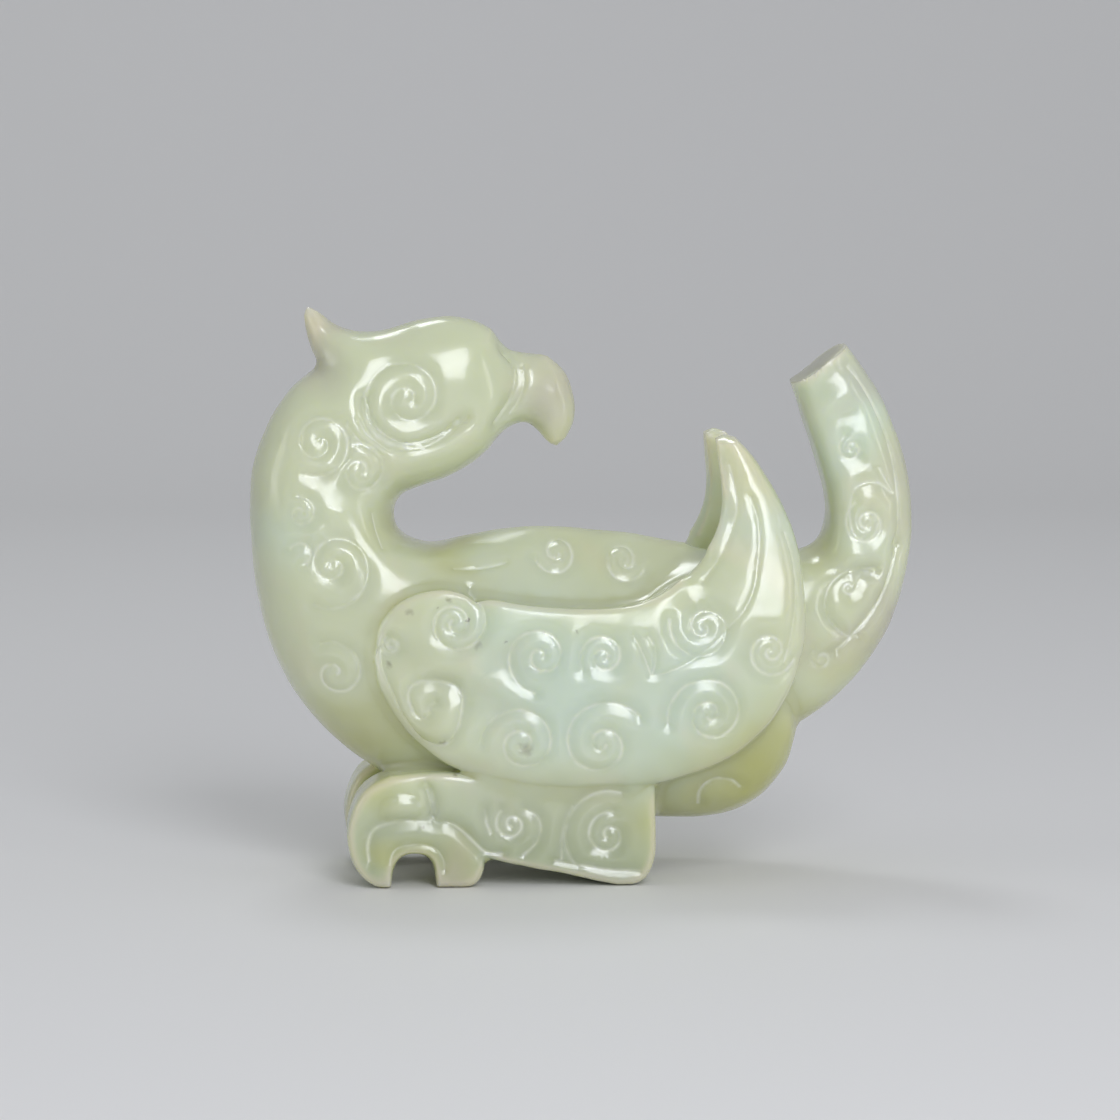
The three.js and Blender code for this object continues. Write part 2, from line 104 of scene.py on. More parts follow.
# The wing: (upper edge x, z, lower edge x, z, |y| of its outer face at the upper edge, and how
# much nearer the middle that face is at the lower edge)
WING = [
    (-20.5, 22.3, -20.4, 21.2, 9.9, 0.0), (-19.8, 25.2, -19.9, 19.0, 10.2, 0.0),
    (-17.6, 27.4, -18.4, 16.3, 10.5, 0.0), (-14.1, 28.4, -16.1, 13.5, 10.9, 0.0),
    (-10.3, 27.7, -12.3, 11.1, 11.4, 0.0), (-5.7, 27.0, -6.6, 9.7, 11.8, 0.0),
    (-0.4, 26.6, -0.4, 9.3, 12.0, 0.0), (4.8, 27.1, 7.2, 10.0, 12.0, -0.1),
    (8.8, 29.3, 13.7, 12.5, 11.7, -0.4), (11.4, 32.3, 18.1, 16.7, 11.1, -0.7),
    (12.6, 35.0, 20.3, 22.0, 10.25, -1.2), (12.8, 37.7, 20.6, 27.6, 9.25, -1.6),
    (12.5, 40.0, 19.5, 33.9, 8.25, -1.2), (12.3, 42.0, 16.5, 39.8, 7.4, -0.3),
    (12.4, 43.0, 14.2, 42.5, 6.9, 0.1),
]
WING_START = (-20.6, 21.7)
WING_POINT = (13.2, 43.25)
WING_ROOT_DEPTH = 6.0       # |y| of the slab's inner face where it grows from the body
WING_TIP_THICK = 3.5
WING_CROWN = (0.7, 1.5)     # how far the wing's middle bulges past its upper and lower edge
TIP_CROWN = 1.3             # the same at the upper edge of the swept tip
LOBE_CROWN = 0.7            # the same at its round front end
WING_FLAT = 4.0             # 2 rounds the face evenly, more keeps its middle flat
TIP_FLAT = 1.6              # the same for the upper part of the swept tip
TIP_FROM = (0.68, 0.78)     # along the wing: where the swept tip begins, and is full
FOLD_AT = 0.41              # across the wing: the ridge above which its face leans inward
FOLD_FROM = (0.52, 0.6)     # along the wing: where this begins, and is full
FOLD_TO = (0.72, 0.8)       # where it starts to fade, and is gone
FOLD_TILT = 0.17
WING_FREE = (0.56, 0.74)    # along the wing: where it starts to leave the body, and is free
LOBE_END = 0.3
WING_RIM = 0.05             # share of the width that is rounded over at each edge
WING_RIM_DROP = 0.45

# One leg in outline: a smooth line down the claw, then Bezier pieces, each from where the last one
# ends, and between which |y| it stands
LEG_CLAW = [(-18.8, 10.6), (-20.4, 9.9), (-21.6, 8.9), (-22.5, 7.3), (-22.95, 5.3),
            (-22.8, 3.6), (-22.3, 2.0), (-21.4, 0.8), (-20.4, 0.15), (-19.6, 0.0)]
LEG_PIECES = [
    [(-18.8, 0.0)], [(-18.7, 1.3)], [(-18.5, 2.6), (-17.8, 3.2), (-16.6, 3.2)],
    [(-15.3, 3.2), (-14.8, 2.6), (-14.7, 1.3)], [(-14.5, 0.0)], [(-11.7, 0.0)],
    [(-10.6, 0.0), (-10.0, 0.9), (-9.8, 2.6)], [(1.6, 0.25)], [(2.6, 0.0)], [(3.8, 0.0)],
    [(5.4, 0.0), (6.3, 1.3), (6.4, 4.0)], [(6.2, 12.5)], [(-6.0, 12.5)], [(-11.0, 10.7)],
    [(-14.5, 11.3), (-18.8, 10.6)],
]
LEG_INNER = 3.2
LEG_OUTER = 10.1
LEG_ROUND = 0.9
LEG_ROUND_IN = 0.55         # how far the rounding eats into the outline

# Soft swellings that are run into the form: (x, |y|, z, half sizes x, y, z)
SWELLINGS = [
    (-17.9, 7.9, 7.7, 3.9, 2.6, 2.5),      # the knuckle over the claws
]
# The flat end of the tail: which way it faces in x, z, how far out it lies, and from which x
CUT_FACING = (-0.575, 0.819)
CUT_AT = 26.95
CUT_FULL = 27.15
CUT_FROM = 15.0
CUT_STILL = 1.0             # how near to it the soft waves of the face die away
# Where limbs flow into each other without a crease: x, z, radius
SOFT_JOINS = [
    (-20.5, 50.2, 5.5), (-7.2, 47.5, 4.5), (-8.0, 43.4, 2.5), (-6.5, 50.8, 2.8),
    (11.2, 29.6, 2.5), (13.3, 43.0, 1.2),
]

# The lines on the stone. Spirals: middle x, z, outer radius, start in degrees from +X, turns (both
# anticlockwise as seen from -Y), inner radius, how fast it closes
SPIRALS = [
    (-4.72, 22.22, 3.48, -101, -1.75, 0.28, 1.35),
    (1.22, 22.18, 2.35, -150, -1.7, 0.28, 1.2),
    (10.72, 24.8, 3.3, 165, 1.65, 0.28, 1.3),
    (17.11, 22.45, 2.56, -20, -1.6, 0.28, 1.2),
    (-6.51, 13.87, 3.86, 178, -1.9, 0.38, 1.35),
    (1.04, 13.82, 4.43, 38, 1.85, 0.38, 1.5),
    (11.3, 16.54, 4.06, 190, -1.9, 0.38, 1.4),
    (-25.4, 42.15, 3.31, -112, 1.55, 0.38, 1.0),    # neck
    (-21.45, 39.37, 2.65, 105, -1.45, 0.38, 1.1),
    (-27.24, 35.5, 1.7, 95, -1.15, 0.28, 1.1),
    (-24.07, 30.62, 4.25, -115, 1.7, 0.38, 1.5),
    (-24.12, 20.29, 3.13, 115, -1.4, 0.28, 1.2),
    (-27.17, 31.53, 1.23, 150, -0.6, 0.85, 1.0),
    (-16.95, 46.23, 5.3, -25, -1.95, 0.57, 1.25),   # cheek, round the eye
    (27.06, 34.01, 2.3, 120, 1.45, 0.29, 1.0),      # tail
    (22.72, 21.06, 1.15, 140, 1.2, 0.19, 1.0),
    (25.61, 41.2, 1.34, 120, 1.3, 0.19, 1.0),
    (-7.38, 6.03, 1.61, 130, 1.35, 0.28, 1.1),       # shank
    (1.84, 4.87, 2.28, 80, 1.4, 0.28, 1.1),
    (1.84, 4.87, 4.18, 75, 0.42, 4.18, 1.0),
    (-2.7, 31.47, 2.1, 200, 1.4, 0.3, 1.1),        # slope of the back
    (3.8, 30.67, 2.1, -30, -1.5, 0.3, 1.1),
    (-18.71, 23.1, 0.85, 200, 1.2, 0.2, 1.0),       # on the wing's front end
]
# Borders, which are cut more boldly
BOLD_SPIRALS = [
    (-12.78, 25.34, 3.2, 60, -1.8, 0.38, 1.2),      # curl of the wing's round front end
]
BOLD_CURVES = [
    # the cheek's border
    [(-20.93, 46.34), (-20.56, 44.84), (-19.81, 43.51), (-18.68, 42.46), (-17.34, 41.85),
     (-16.0, 41.92), (-14.09, 42.57), (-11.8, 43.78), (-11.13, 44.25)],
    # the wing's front border, which runs on into the lower curl
    [(-19.2, 23.9), (-19.65, 22.3), (-19.5, 20.9), (-19.05, 19.4), (-18.3, 17.3), (-17.1, 15.2),
     (-16.1, 14.1), (-15.2, 13.65), (-14.1, 13.6), (-13.18, 14.2), (-12.53, 15.51),
     (-12.07, 17.55), (-12.26, 18.5), (-12.82, 19.35), (-13.95, 19.73), (-14.98, 19.82),
     (-16.1, 19.72), (-16.94, 19.13), (-17.22, 18.26), (-16.94, 17.29), (-16.37, 16.43),
     (-15.72, 16.25), (-15.25, 16.82), (-15.16, 17.42), (-14.69, 17.81)],
    # the tail's border low down, and the loop beside it
    [(30.22, 31.93), (29.42, 28.78), (28.22, 26.22), (26.34, 23.87), (24.18, 21.8)],
    [(27.9, 29.5), (27.12, 29.6), (26.07, 29.6), (24.77, 29.31), (23.73, 28.56),
     (23.14, 27.43), (22.98, 26.16), (23.45, 24.88), (24.37, 23.84), (25.33, 23.15),
     (26.2, 23.1)],
    # root of the beak
    [(-7.5, 50.46), (-6.76, 49.51), (-6.51, 48.2), (-6.71, 46.78), (-7.38, 45.15),
     (-8.38, 43.66)],
    # between the foot and the shank
    [(-15.34, 9.47), (-14.96, 8.13), (-14.77, 6.69), (-13.45, 6.29), (-12.21, 5.58),
     (-10.99, 4.43), (-9.86, 3.38), (-8.34, 3.17)],
]
CURVES = [
    # tail border and its two curls
    [(25.4, 49.0), (26.63, 47.49), (28.08, 44.89), (29.15, 42.21), (29.92, 39.14),
     (30.31, 35.49), (30.22, 31.93)],
    [(27.4, 29.2), (26.54, 28.95), (26.2, 28.39), (25.81, 27.58), (25.2, 27.32),
     (24.78, 27.74), (25.05, 28.27), (25.49, 28.15)],
    [(29.59, 36.95), (28.32, 37.83), (26.96, 37.94), (25.9, 37.27), (25.38, 35.8),
     (25.35, 34.38), (25.81, 33.05), (26.79, 32.36), (27.85, 32.84), (28.26, 33.97)],
    # foot and shank
    [(-20.94, 2.65), (-21.03, 4.18), (-20.55, 5.52), (-19.32, 6.17), (-17.24, 6.52),
     (-15.15, 6.4)],
    [(-3.21, 2.44), (-1.11, 2.03), (1.94, 1.51), (4.8, 1.38)],
    [(-15.52, 9.9), (-14.86, 8.6), (-14.68, 7.45), (-15.15, 6.6), (-16.38, 6.4)],
    [(-9.85, 7.4), (-9.76, 6.16), (-9.38, 5.2)],
    # rump
    [(10.87, 6.97), (10.84, 8.13), (11.32, 9.09), (12.42, 9.69), (13.89, 9.47), (14.78, 8.71)],
    [(-6.05, 7.36), (-5.1, 6.87), (-4.63, 5.81), (-4.92, 4.28), (-6.25, 3.05)],
    [(-1.59, 7.6), (-2.25, 6.07), (-2.63, 4.35), (-2.63, 2.62)],
]
# Lines that are only just cut
FINE_CURVES = [
    # feathers
    [(13.4, 39.9), (13.9, 37.9), (14.05, 36.2), (13.75, 34.5), (12.95, 32.5),
     (11.85, 30.6), (10.8, 29.2)],
    [(15.31, 36.92), (15.82, 35.63), (16.07, 34.13), (16.08, 32.46), (15.9, 30.78),
     (15.47, 28.37), (14.47, 26.34), (13.1, 24.87), (11.48, 23.18), (9.35, 21.64),
     (7.16, 20.64), (5.74, 20.37)],
    [(18.6, 33.6), (19.25, 31.4), (19.55, 28.9), (19.45, 26.3), (19.0, 23.7), (18.4, 21.4)],
    # leaf between the scrolls
    [(3.99, 24.11), (4.63, 23.0), (5.18, 21.69), (5.64, 20.37)],
    [(5.4, 24.01), (6.05, 22.99), (6.12, 21.68), (5.74, 20.37)],
    # behind the cheek, beak, throat
    [(-22.75, 43.83), (-22.0, 42.69), (-20.96, 41.74), (-19.92, 41.14), (-19.25, 40.65)],
    [(-21.61, 44.2), (-20.95, 43.06), (-20.2, 42.39), (-19.25, 41.7), (-18.77, 41.31)],
    [(-5.81, 49.13), (-5.75, 47.44), (-6.23, 45.91), (-7.07, 44.55)],
    [(-20.31, 35.31), (-20.13, 34.37), (-19.85, 33.35), (-19.4, 32.14)],
    # arch between the claws, tail
    [(-18.95, 2.24), (-18.76, 3.2), (-18.19, 3.86), (-17.06, 4.14), (-15.64, 4.12),
     (-14.5, 3.62), (-13.93, 2.76), (-13.75, 1.8)],
    [(28.22, 39.33), (28.81, 38.3), (29.61, 36.96)],
    # along the back
    [(-12.6, 30.07), (-10.8, 29.97), (-9.28, 30.14), (-8.03, 30.4), (-7.55, 30.66)],
]

# Places where the face is worked a little deeper between the lines, so that it rolls
SOFT_CURVES = [
    [(-18.3, 44.1), (-15.34, 44.1), (-13.7, 44.7), (-12.2, 45.6)],
    [(-24.4, 41.9), (-23.2, 41.5)], [(-24.9, 38.5), (-23.7, 37.9)], [(-24.4, 33.9), (-23.9, 33.8)],
    [(-25.7, 33.0), (-25.8, 31.9)], [(-23.5, 29.7), (-23.2, 29.2)], [(-18.0, 22.4), (-17.0, 22.4)],
    [(-10.9, 18.2), (-9.7, 18.0)], [(-8.6, 21.4), (-7.4, 21.4)], [(-14.3, 18.9), (-13.2, 18.9)],
    [(22.2, 47.4), (22.4, 46.3)], [(24.0, 44.1), (24.7, 44.1)], [(25.3, 39.7), (26.2, 39.7)],
    [(21.6, 31.0), (23.3, 30.6)],
]

LINE_STEP = 0.12            # between two points of a drawn line
SHEET_AWAY = 30.0           # how far in front of the stone the lines are held

# How many ribs along each limb, and points round it
TRUNK_FINE = (340, 110)
TAIL_FINE = (220, 90)
BEAK_FINE = (120, 60)
CREST_FINE = (100, 50)
WING_FINE = (320, 70)
WING_BACK = 24              # points across the wing's inner face
SWELLING_FINE = (40, 60)
CLAW_STEPS = 120            # points along the claw's outline, and along each Bezier piece
PIECE_STEPS = 80
OUTLINE_STEP = 0.12         # mm between two points of the leg's outline
ROUND_STEPS = 7             # points round the leg's edges
SPIRAL_STEPS = 240
CURVE_STEPS = 30            # points from one point of a drawn line's table to the next
LAST_BIT = 1e-9             # keeps a share of 1 inside the last stretch of a table

# How the joins are eased and the stone is measured, all steps being smoothing steps
CREASE_STEPS = 350          # these show up the creases
CREASE = (0.05, 0.4)        # how hollow a place must be to be eased, in mm
EASE_STEPS = 350            # these fill them
THICK_ENOUGH = 9.0          # mm through which the stone no longer looks thin
THICK_STEPS = 220
HOLLOW_STEPS = 160
HOLLOW_GAIN = 5.0
UNDER_SKIN = 0.3            # how deep a ray that measures the thickness starts
THROUGH = 60.0              # and how far it looks


def size(name, description, default, **more):
    """A setting that is a length, given in millimetres"""
    return bpy.props.FloatProperty(name=name, description=description, default=default * MM,
                                   unit="LENGTH", **more)


def number(name, description, default, **more):
    """A setting that is a share, a strength or a power"""
    return bpy.props.FloatProperty(name=name, description=description, default=default, **more)


def colour(name, description, default):
    """A setting that is a colour"""
    return bpy.props.FloatVectorProperty(name=name, description=description, default=default,
                                         subtype="COLOR", size=3, min=0, max=1)


class StoneSettings(bpy.types.PropertyGroup):
    """Sizes of the stone's surface and its carving"""
    finest: size("Finest detail", "Edge of the cells in which the form is run together", 0.115,
                 min=0.1 * MM)
    polish: bpy.props.IntProperty(
        name="Polish", description="Smoothing passes that round every edge", default=16, min=0)
    groove_width: size("Groove width", "Half width of a scroll's cut line", 0.17)
    groove_depth: size("Groove depth", "Depth of a scroll's cut line", 0.085)
    hollow_width: size("Hollow width", "Half width of the soft hollow along a cut line", 0.85)
    hollow_depth: size("Hollow depth", "Depth of the soft hollow along a cut line", 0.23)
    bold: number("Bold", "How much deeper than a scroll the borders are cut", 1.6, min=0)
    light: number("Light", "Share of a scroll's width and depth the finest lines have", 0.55,
                  min=0)
    soft_width: size("Rolling width", "Half width of the soft dips between the lines", 2.1)
    soft_depth: size("Rolling depth", "Depth of the soft dips between the lines", 0.42)
    wave_size: size("Wave size", "From one soft hollow of the hand-worked face to the next", 4.5)
    wave_depth: size("Wave depth", "How far those hollows go in", 0.28)
    triangles: bpy.props.IntProperty(
        name="Triangles", description="How many triangles the finished stone keeps",
        default=192000, min=1000)


class JadeColours(bpy.types.PropertyGroup):
    """Colours of the jade, and of the shade and glow painted on it"""
    body: colour("Celadon", "The main colour of the stone", (0.61, 0.65, 0.455))
    cool: colour("Mint", "The cooler clouds in it", (0.59, 0.685, 0.56))
    # Olive: painted shade in the hollows and creases, and the olive clouds, some of which are
    # painted shade too
    olive_and_shade: colour("Olive", "Hollows and the yellower clouds", (0.48, 0.49, 0.195))
    # Moss: darker towards the bottom, partly the stone's own colour and partly painted shade under
    # the light from above
    moss_and_low_shade: colour("Moss", "The darker foot of the stone", (0.42, 0.465, 0.31))
    # Cream: the paler veins, and a painted glow on thin parts and rounded edges
    cream_veins_and_glow: colour("Cream", "Thin edges and tips", (0.68, 0.62, 0.45))
    ash: colour("Ash", "The greyer beak, crest and outer edges", (0.50, 0.475, 0.385))
    flaw: colour("Flaw", "The small dark flecks", (0.13, 0.10, 0.06))
    # Line: paler as the cut is frosted, and partly a painted glint along the cut edges
    line: colour("Line", "The cut lines, which are less polished", (0.82, 0.84, 0.74))
    # Cut end: painted shade on the tail's flat end, which is also made rougher
    cut: colour("Cut end", "The matt flat end of the tail", (0.40, 0.40, 0.31))


class StudioSettings(bpy.types.PropertyGroup):
    """The floor, the lights and the camera"""
    floor: colour("Floor", "Colour of the floor", (0.80, 0.795, 0.78))
    room: number("Room light", "Strength of the even light all round", 0.4)
    key: number("Key light", "Power of the main soft light", 1.4, unit="POWER")
    left: number("Left strip", "Power of the low light on the left", 0.24, unit="POWER")
    right: number("Right strip", "Power of the narrow light on the right", 0.16, unit="POWER")
    back: number("Back light", "Power of the light behind and above", 0.45, unit="POWER")


def along(stations, share):
    """Values on a smooth curve through the stations, share from 0 to 1"""
    table = np.asarray(stations, float)
    last = len(table) - 1
    place = np.minimum(np.asarray(share) * last, last - LAST_BIT)
    i = place.astype(int)
    f = (place - i)[:, None]
    a, b, c, d = (table[np.clip(i + k, 0, last)] for k in (-1, 0, 1, 2))
    return 0.5 * (2 * b + (c - a) * f + (2 * a - 5 * b + 4 * c - d) * f ** 2
                  + (3 * b - a - 3 * c + d) * f ** 3)


def rise(low, high, value):
    """0 below low, 1 above high, smooth between"""
    share = np.clip((value - low) / (high - low), 0, 1)
    return share * share * (3 - 2 * share)


def even(line, step):
    """The same line with its points at even steps"""
    lengths = np.linalg.norm(np.diff(line, axis=0), axis=1)
    run = np.concatenate([[0], np.cumsum(lengths)])
    count = max(2, int(round(run[-1] / step)) + 1)
    at = np.linspace(0, run[-1], count)
    return np.stack([np.interp(at, run, line[:, k]) for k in range(line.shape[1])], 1)


def bands(rings, sides):
    """Faces between rings of points that follow each other"""
    j = np.arange(sides)
    n = (j + 1) % sides
    faces = []
    for a in range(0, (rings - 1) * sides, sides):
        b = a + sides
        faces += np.stack([a + j, a + n, b + n, b + j], 1).tolist()
    return faces


def skin(rings, start, end):
    """A closed shell over rings of points, each end drawn to a point"""
    ribs, sides = rings.shape[:2]
    points = np.vstack([rings.reshape(-1, 3), [start], [end]])
    first, final = ribs * sides, ribs * sides + 1
    here = list(range(sides))
    after = here[1:] + here[:1]
    top = (ribs - 1) * sides
    faces = bands(ribs, sides)
    faces += [(first, k, m) for k, m in zip(after, here)]
    faces += [(final, top + k, top + m) for k, m in zip(here, after)]
    return points, faces


def limb(stations, fine, square, start=None, end=None, inner_square=None, lean=0.0):
    """A limb whose section is a superellipse between its two edges. The half towards the inner
    edge can have its own squareness at each rib, and one edge can be thicker than the other."""
    ribs, sides = fine
    values = along(stations, np.linspace(0, 1, ribs))
    angle = np.linspace(0, 2 * np.pi, sides, endpoint=False)[None, :]
    towards_inner = square if inner_square is None else inner_square[:, None]
    shape = np.where(np.cos(angle) < 0, towards_inner, square) * np.ones((ribs, 1))

    def bend(value):
        return np.sign(value) * np.abs(value) ** (2 / shape)

    across = 0.5 * (1 + bend(np.cos(angle)))
    outer, inner, half = values[:, None, 0:2], values[:, None, 2:4], values[:, 4:5]
    flat = inner + (outer - inner) * across[..., None]
    half = half * (1 + lean * (0.5 - across))
    rings = np.stack([flat[..., 0], half * bend(np.sin(angle)), flat[..., 1]], 2)

    def pole(tip, ring):
        return (tip[0], 0, tip[1]) if tip else ring.mean(0)

    return skin(rings, pole(start, rings[0]), pole(end, rings[-1]))


def wing(side):
    """One wing: a crowned plate with rounded edges, its tip standing free"""
    ribs, steps = WING_FINE
    t = np.linspace(0, 1, ribs)
    values = along(WING, t)
    v = np.linspace(0, 1, steps)
    inner_v = np.linspace(1, 0, WING_BACK)[1:-1]

    def face(shares):
        return values[:, 4:5] - values[:, 5:6] * shares[None, :]

    free = rise(*WING_FREE, t)[:, None]
    inner = WING_ROOT_DEPTH + (face(inner_v) - WING_TIP_THICK - WING_ROOT_DEPTH) * free
    tip = rise(*TIP_FROM, t)[:, None] * (v < 0.5)[None, :]
    crown = np.where(v < 0.5, *WING_CROWN)[None, :] * (1 - tip) + TIP_CROWN * tip
    flat = WING_FLAT + (TIP_FLAT - WING_FLAT) * tip
    bulge = LOBE_CROWN + (crown - LOBE_CROWN) * rise(0, LOBE_END, t)[:, None]
    reach = np.minimum(v, 1 - v) / WING_RIM
    rim = WING_RIM_DROP * (1 - np.sqrt(1 - (1 - np.clip(reach, 0, 1)) ** 2))
    width = np.hypot(values[:, 2] - values[:, 0], values[:, 3] - values[:, 1])
    fold = FOLD_TILT * (width * rise(*FOLD_FROM, t) * (1 - rise(*FOLD_TO, t)))[:, None]
    fold = fold * np.maximum(FOLD_AT - v, 0)[None, :]
    out = face(v) - fold - bulge * np.abs(2 * v - 1)[None, :] ** flat - rim
    depth = np.hstack([out, inner])
    share = np.concatenate([v, inner_v])[None, :]
    x = values[:, 0:1] + (values[:, 2:3] - values[:, 0:1]) * share
    z = values[:, 1:2] + (values[:, 3:4] - values[:, 1:2]) * share
    rings = np.stack([x, side * depth, z], 2)
    start = (WING_START[0], side * (WING[0][4] - WING_TIP_THICK / 2), WING_START[1])
    end = (WING_POINT[0], side * (WING[-1][4] - WING_TIP_THICK / 2), WING_POINT[1])
    return skin(rings, start, end)


def bezier(corners, count):
    """Points on one Bezier piece, without its last"""
    t = np.linspace(0, 1, count, endpoint=False)[:, None]
    level = [np.asarray(c, float) * np.ones_like(t) for c in corners]
    while len(level) > 1:
        level = [a + (b - a) * t for a, b in zip(level, level[1:])]
    return level[0]


def leg_outline():
    """The leg's outline at even steps"""
    points = [along(LEG_CLAW, np.linspace(0, 1, CLAW_STEPS, endpoint=False))]
    start = LEG_CLAW[-1]
    for piece in LEG_PIECES:
        points.append(bezier([start, *piece], PIECE_STEPS))
        start = piece[-1]
    line = np.vstack(points)
    return even(np.vstack([line, line[:1]]), OUTLINE_STEP)[:-1]


def inward_way(line):
    """1 or -1, whichever turns the outline's normals inwards"""
    area = np.sum(line[:, 0] * np.roll(line[:, 1], -1) - np.roll(line[:, 0], -1) * line[:, 1])
    return -1 if area > 0 else 1


def leg(side):
    """One leg: the outline carried across, its edges rounded"""
    line = leg_outline()
    ahead = np.roll(line, -1, 0) - np.roll(line, 1, 0)
    normal = np.stack([ahead[:, 1], -ahead[:, 0]], 1)
    normal /= np.linalg.norm(normal, axis=1)[:, None]
    turn = np.linspace(0, np.pi / 2, ROUND_STEPS)
    round_over = LEG_ROUND * (1 - np.sin(turn))
    inset = LEG_ROUND_IN * (1 - np.cos(turn))
    depths = np.concatenate([(LEG_INNER + round_over)[::-1], LEG_OUTER - round_over])
    insets = np.concatenate([inset[::-1], inset])
    count = len(line)
    way = inward_way(line)
    rings = [np.stack([line[:, 0] + way * normal[:, 0] * eat,
                       np.full(count, side * depth),
                       np.maximum(line[:, 1] + way * normal[:, 1] * eat, 0)], 1)
             for depth, eat in zip(depths, insets)]
    faces = bands(len(rings), count)
    faces.append(list(range(count))[::-1])
    faces.append([(len(rings) - 1) * count + k for k in range(count)])
    return np.vstack(rings), faces


def swelling(x, y, z, *half):
    """A soft lump that is run into the form"""
    ribs, sides = SWELLING_FINE
    up = np.linspace(-np.pi / 2, np.pi / 2, ribs + 2)[1:-1, None]
    turn = np.linspace(0, 2 * np.pi, sides, endpoint=False)[None, :]
    unit = np.stack([np.cos(up) * np.cos(turn), np.cos(up) * np.sin(turn),
                     np.sin(up) * np.ones_like(turn)], 2)
    rings = unit * half + (x, y, z)
    return skin(rings, (x, y, z - half[2]), (x, y, z + half[2]))


def new_object(name, data):
    item = bpy.data.objects.new(name, data)
    bpy.context.scene.collection.objects.link(item)
    return item


def mesh_object(name, points, faces=(), edges=()):
    mesh = bpy.data.meshes.new(name)
    mesh.from_pydata(np.asarray(points).tolist(), edges, faces)
    return new_object(name, mesh)


def baked(item):
    """The object's mesh with its modifiers applied, and the modifiers taken off"""
    graph = bpy.context.evaluated_depsgraph_get()
    mesh = bpy.data.meshes.new_from_object(item.evaluated_get(graph))
    item.modifiers.clear()
    old = item.data
    item.data = mesh
    bpy.data.meshes.remove(old)
    return item


def rough_form():
    """All limbs as one object of overlapping closed shells, in millimetres"""
    share = np.linspace(0, 1, TRUNK_FINE[0])
    back = BODY_SQUARE + (BACK_SQUARE - BODY_SQUARE) * rise(*BACK_FROM, share)
    cheeks = HEAD_LEAN * (1 - rise(*HEAD_TO, share))[:, None]
    shells = [limb(TRUNK, TRUNK_FINE, BODY_SQUARE, TRUNK_NOSE, TRUNK_END, back, cheeks),
              limb(TAIL, TAIL_FINE, TAIL_SQUARE, lean=TAIL_LEAN),
              limb(BEAK, BEAK_FINE, BEAK_SQUARE, None, BEAK_TIP),
              limb(CREST, CREST_FINE, CREST_SQUARE, None, CREST_TIP)]
    for side in (-1, 1):
        shells += [wing(side), leg(side)]
        shells += [swelling(x, side * y, z, *half) for x, y, z, *half in SWELLINGS]
    points, faces, base = [], [], 0
    for shell_points, shell_faces in shells:
        points.append(shell_points)
        faces += [[k + base for k in face] for face in shell_faces]
        base += len(shell_points)
    return mesh_object("stone_form", np.vstack(points), faces)


def run_together(item, settings):
    """Makes one skin of the overlapping shells and rounds its edges"""
    remesh = item.modifiers.new("one_skin", "REMESH")
    remesh.mode = "VOXEL"
    remesh.voxel_size = settings.finest / MM
    remesh.use_smooth_shade = True
    smooth = item.modifiers.new("polish", "SMOOTH")
    smooth.factor = 0.5
    smooth.iterations = settings.polish
    return baked(item)


class Tree:
    """A node tree being built: inputs are given as values or as other nodes' outputs"""

    def __init__(self, tree):
        self.tree = tree

    def add(self, kind, *values, out=0, **named):
        """Adds a node, sets its properties, fills its inputs in order or from a dict of their
        names, and returns one of its outputs"""
        node = self.tree.nodes.new(kind)
        for key, value in named.items():
            setattr(node, key, value)
        given = values[0] if values and isinstance(values[0], dict) else dict(enumerate(values))
        for key, value in given.items():
            self.fill(node.inputs[key], value)
        return node.outputs[out]

    def fill(self, socket, value):
        if isinstance(value, bpy.types.NodeSocket):
            self.tree.links.new(value, socket)
        elif value is not None:
            socket.default_value = value

    def maths(self, operation, a, b=None):
        return self.add("ShaderNodeMath", a, b, operation=operation)

    def vector(self, operation, *values, out=0):
        return self.add("ShaderNodeVectorMath", *values, operation=operation, out=out)

    def dot(self, a, b):
        return self.vector("DOT_PRODUCT", a, b, out="Value")

    def distance(self, a, b):
        return self.vector("DISTANCE", a, b, out="Value")

    def spread(self, value, low, high, a=0.0, b=1.0):
        """Runs smoothly from a to b while the value goes from low to high"""
        return self.add("ShaderNodeMapRange", {"Value": value, "From Min": low, "From Max": high,
                                               "To Min": a, "To Max": b},
                        interpolation_type="SMOOTHSTEP")

    def pushed(self, geometry, normal, distance):
        """The geometry moved along its normals"""
        offset = self.vector("SCALE", {"Vector": normal, "Scale": distance})
        return self.add("GeometryNodeSetPosition", {"Geometry": geometry, "Offset": offset})

    def stored(self, geometry, name, value):
        return self.add("GeometryNodeStoreNamedAttribute",
                        {"Geometry": geometry, "Name": name, "Value": value},
                        data_type="FLOAT", domain="POINT")

    def blurred(self, value, steps, kind="FLOAT_VECTOR", weight=1.0):
        return self.add("GeometryNodeBlurAttribute",
                        {"Value": value, "Iterations": steps, "Weight": weight}, data_type=kind)

    def hollowness(self, position, normal, steps):
        """How far the stone's own smoothed shape lies outside its surface, in millimetres"""
        shift = self.vector("SUBTRACT", self.blurred(position, steps), position)
        return self.dot(shift, normal)

    def end(self, geometry, material):
        """Ends a Geometry Nodes tree with that geometry"""
        whole = self.add("GeometryNodeRealizeInstances", geometry)
        done = self.add("GeometryNodeSetMaterial", {"Geometry": whole, "Material": material})
        self.tree.links.new(done, self.tree.nodes.new("NodeGroupOutput").inputs[0])
        return self.tree


def geometry_tree(name, **inputs):
    """A Geometry Nodes tree with inputs of those kinds or defaults, besides the geometry and the
    jade, and what it is given"""
    made = Tree(bpy.data.node_groups.new(name, "GeometryNodeTree"))
    new_socket = made.tree.interface.new_socket
    new_socket("Geometry", in_out="OUTPUT", socket_type="NodeSocketGeometry")
    for label, value in {"geometry": "Geometry", **inputs, "jade": "Material"}.items():
        kind = value if isinstance(value, str) else "Float"
        socket = new_socket(label.replace("_", " ").title(), in_out="INPUT",
                            socket_type="NodeSocket" + kind)
        if not isinstance(value, str):
            socket.default_value = value
    return made, made.tree.nodes.new("NodeGroupInput").outputs


